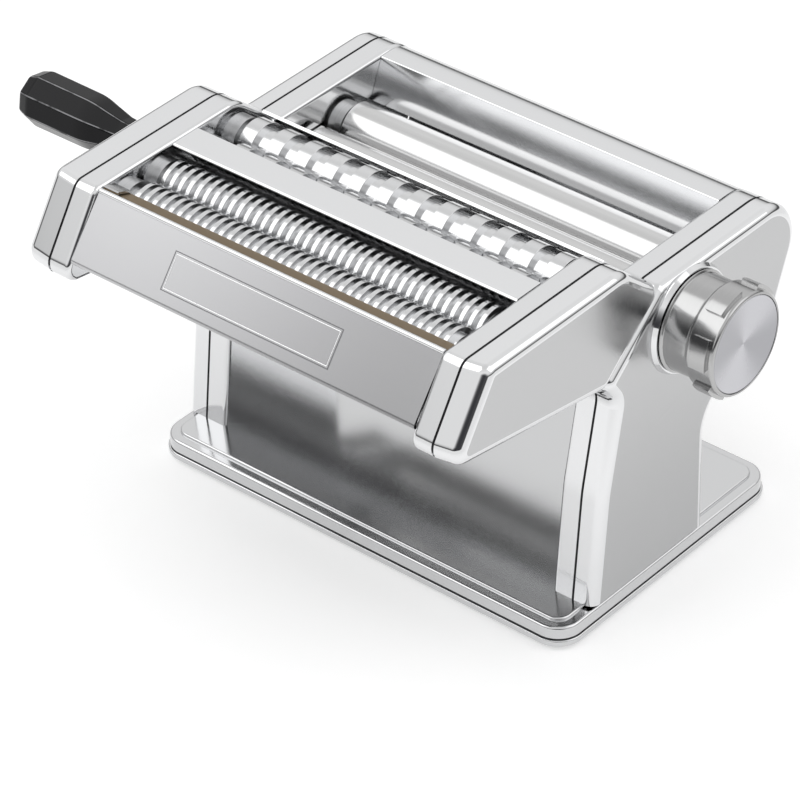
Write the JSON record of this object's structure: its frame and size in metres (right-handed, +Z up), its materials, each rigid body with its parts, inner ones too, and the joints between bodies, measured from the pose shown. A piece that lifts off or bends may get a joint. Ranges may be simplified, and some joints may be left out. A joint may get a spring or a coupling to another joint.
{
  "type": "pasta roller machine",
  "caption": "Hand-cranked dough sheeter with smooth rollers, a gap-setting knob, a removable crank and a slide-on noodle cutter with ring rollers on a flat base",
  "frame": {"origin": "centre of the flat underside of the base pan; the feet stand 1.5 mm below it", "axes": "+X along the rollers towards the gauge knob, -Y towards the cutter's front panel, +Z up"},
  "size_m": [0.3025, 0.1969, 0.1517],
  "materials": {
    "chrome": "polished",
    "satin_steel": "satin",
    "roller_metal": "smooth",
    "plain_steel": "bright",
    "bush_metal": "dull",
    "seal_rubber": "matt",
    "grip_plastic": "glossy"
  },
  "bodies": {
    "machine": {"base_plate": "chrome", "base_pan": "chrome", "base_seal": "seal_rubber", "rubber_feet": "seal_rubber", "base_screws": "plain_steel", "left_side_wall": "chrome", "right_side_wall": "chrome", "left_body_cover": "chrome", "right_body_cover": "chrome", "body_seals": "seal_rubber", "rear_cover": "chrome", "front_cover": "chrome", "body_tie_rods": "plain_steel", "body_tie_nuts": "plain_steel", "gauge_bracket": "plain_steel", "rear_scraper": "plain_steel", "rear_roller_bushes": "bush_metal", "index_plate": "chrome", "cutter_rails": "plain_steel"},
    "rear_roll": {"rear_roller": "roller_metal", "rear_roller_shaft": "plain_steel", "rear_roller_gear": "plain_steel"},
    "carriage": {"bearing_blocks": "bush_metal", "front_scraper": "plain_steel"},
    "front_roll": {"front_roller": "roller_metal", "front_roller_shaft": "plain_steel", "front_roller_gear": "plain_steel"},
    "gauge": {"gauge_spindle": "plain_steel", "gauge_cam": "plain_steel"},
    "knob": {"knob_shell": "chrome", "knob_face": "satin_steel", "index_pin": "plain_steel", "knob_spring": "plain_steel"},
    "crank": {"crank_rod": "plain_steel", "crank_collar": "plain_steel", "grip_washer": "plain_steel"},
    "grip": {"crank_grip": "grip_plastic"},
    "cutter": {"left_cutter_wall": "chrome", "right_cutter_wall": "chrome", "left_cutter_cover": "chrome", "right_cutter_cover": "chrome", "cutter_seals": "seal_rubber", "front_panel": "satin_steel", "cutter_rear_panel": "chrome", "cutter_bridge": "chrome", "guide_strip": "bush_metal", "cutter_hooks": "plain_steel", "cutter_tie_rods": "plain_steel", "cutter_tie_nuts": "plain_steel", "cutter_bushes": "bush_metal", "noodle_combs": "plain_steel", "ribbon_combs": "plain_steel"},
    "noodle_rear": {"noodle_roller_rear": "roller_metal", "noodle_gear_rear": "plain_steel"},
    "noodle_front": {"noodle_roller_front": "roller_metal", "noodle_gear_front": "plain_steel"},
    "ribbon_front": {"ribbon_roller_front": "roller_metal", "ribbon_gear_front": "plain_steel"},
    "ribbon_rear": {"ribbon_roller_rear": "roller_metal", "ribbon_gear_rear": "plain_steel"}
  },
  "joints": [
    {"name": "roller_drive", "type": "hinge", "parent": "machine", "child": "rear_roll", "pos_m": [0, 0.0305, 0.1102], "axis": [1, 0, 0], "continuous": true},
    {"name": "crank_pull", "type": "slide", "parent": "rear_roll", "child": "crank", "axis": [-1, 0, 0], "range_m": [0, 0.03]},
    {"name": "grip_spin", "type": "hinge", "parent": "crank", "child": "grip", "pos_m": [-0.15, -0.04298, 0.1225], "axis": [1, 0, 0], "continuous": true},
    {"name": "gauge_turn", "type": "hinge", "parent": "machine", "child": "gauge", "pos_m": [0, 0.007, 0.1102], "axis": [1, 0, 0], "range_deg": [0, 270]},
    {"name": "knob_pull", "type": "slide", "parent": "gauge", "child": "knob", "axis": [1, 0, 0], "range_m": [0, 0.003], "stiffness_N_per_m": 400, "springref_m": -0.002, "deforming": ["knob_spring"]},
    {"name": "gap_slide", "type": "slide", "parent": "machine", "child": "carriage", "axis": [0, 1, 0], "range_m": [0, 0.0022]},
    {"name": "front_roller_spin", "type": "hinge", "parent": "carriage", "child": "front_roll", "pos_m": [0, 0.007, 0.1102], "axis": [1, 0, 0], "continuous": true},
    {"name": "cutter_lift", "type": "slide", "parent": "machine", "child": "cutter", "axis": [0, 0.7714, 0.6364], "range_m": [0, 0.06]},
    {"name": "noodle_drive", "type": "hinge", "parent": "cutter", "child": "noodle_rear", "pos_m": [0, -0.071, 0.136], "axis": [1, 0, 0], "continuous": true},
    {"name": "noodle_mate", "type": "hinge", "parent": "cutter", "child": "noodle_front", "pos_m": [0, -0.089, 0.136], "axis": [1, 0, 0], "continuous": true},
    {"name": "ribbon_drive", "type": "hinge", "parent": "cutter", "child": "ribbon_rear", "pos_m": [0, -0.0288, 0.1334], "axis": [1, 0, 0], "continuous": true},
    {"name": "ribbon_mate", "type": "hinge", "parent": "cutter", "child": "ribbon_front", "pos_m": [0, -0.0468, 0.1334], "axis": [1, 0, 0], "continuous": true}
  ],
  "couplings": [
    {"joint": "front_roller_spin", "follows": "roller_drive", "ratio": -1},
    {"joint": "gauge_turn", "follows": "gap_slide", "rad_per_m": 2142},
    {"joint": "noodle_mate", "follows": "noodle_drive", "ratio": -1},
    {"joint": "ribbon_mate", "follows": "ribbon_drive", "ratio": -1}
  ]
}
